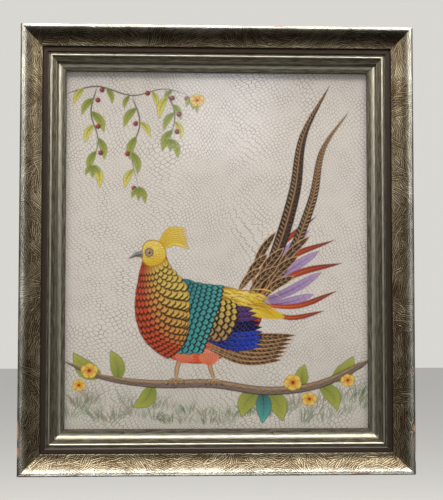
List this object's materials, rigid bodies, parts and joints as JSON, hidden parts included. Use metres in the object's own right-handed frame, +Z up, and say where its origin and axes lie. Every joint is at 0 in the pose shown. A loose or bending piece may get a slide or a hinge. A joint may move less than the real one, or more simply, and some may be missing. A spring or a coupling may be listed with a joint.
{
  "type": "ceramic wall plaque",
  "caption": "Glazed tile with a painted bird on a crackled cream ground, held by a smooth slip in a combed champagne-leaf frame, closed by a board and hung from a sawtooth hanger.",
  "frame": {"origin": "middle of the hanger's flat wall-side face, at the back of the top rail, where a nail in the wall holds the plaque", "axes": "+Z up, +Y out of the back towards the wall, -Y out of the picture, +X to the right seen from the front"},
  "size_m": [0.3798, 0.0397, 0.433],
  "materials": {
    "crackle_glaze": "gloss",
    "combed_champagne_leaf": "satin",
    "smooth_silver_gilt": "satin",
    "hardboard": "matte",
    "zinc_plated_steel": "satin"
  },
  "bodies": {
    "root": {"ceramic_plaque": "crackle_glaze", "frame_rail_top": "combed_champagne_leaf", "frame_rail_bottom": "combed_champagne_leaf", "frame_rail_left": "combed_champagne_leaf", "frame_rail_right": "combed_champagne_leaf", "slip_rail_top": "smooth_silver_gilt", "slip_rail_bottom": "smooth_silver_gilt", "slip_rail_left": "smooth_silver_gilt", "slip_rail_right": "smooth_silver_gilt", "backing_board": "hardboard", "framing_point_top_1": "zinc_plated_steel", "framing_point_top_2": "zinc_plated_steel", "framing_point_bottom_1": "zinc_plated_steel", "framing_point_bottom_2": "zinc_plated_steel", "framing_point_left_1": "zinc_plated_steel", "framing_point_left_2": "zinc_plated_steel", "framing_point_right_1": "zinc_plated_steel", "framing_point_right_2": "zinc_plated_steel", "sawtooth_hanger": "zinc_plated_steel", "hanger_nail_left": "zinc_plated_steel", "hanger_nail_right": "zinc_plated_steel"}
  },
  "joints": []
}
